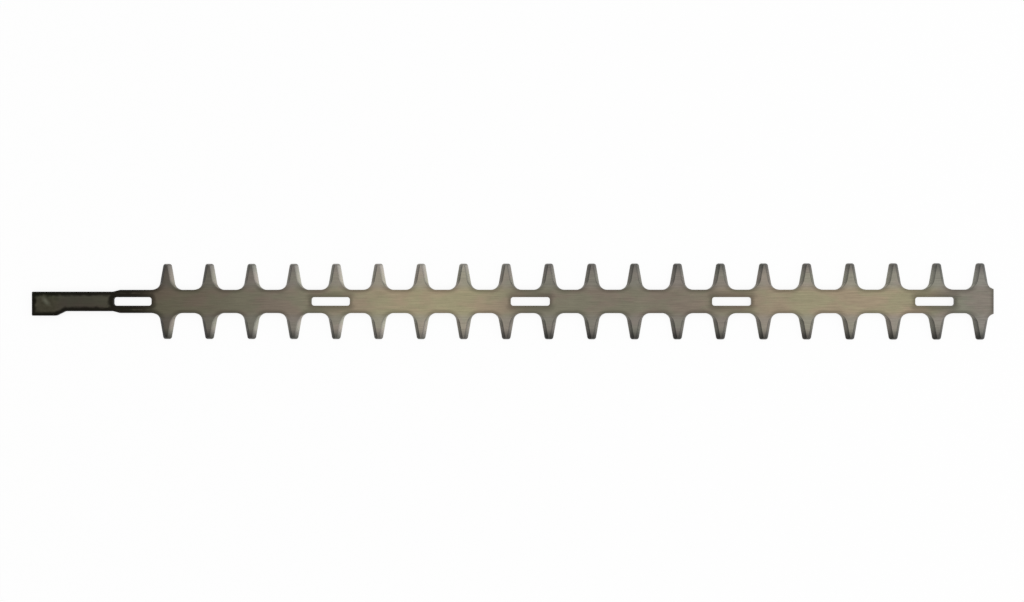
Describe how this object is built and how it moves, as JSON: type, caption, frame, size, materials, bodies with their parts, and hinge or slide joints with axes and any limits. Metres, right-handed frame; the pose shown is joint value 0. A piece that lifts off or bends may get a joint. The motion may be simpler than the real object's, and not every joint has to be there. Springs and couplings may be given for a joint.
{
  "type": "hedge trimmer blade",
  "caption": "Flat toothed steel blade for a double-sided hedge trimmer, with ground bevelled teeth, a row of guide slots and a stepped drive tang.",
  "frame": {"origin": "middle of the row of guide slots, on the flat sliding face", "axes": "+X along the blade from the drive tang to the plain end, +Z out of the face with the ground bevels"},
  "size_m": [0.6743, 0.0532, 0.0025],
  "materials": {
    "blade_steel": "ground hardened steel, dull warm grey"
  },
  "bodies": {
    "root": {"blade": "blade_steel"}
  },
  "joints": []
}
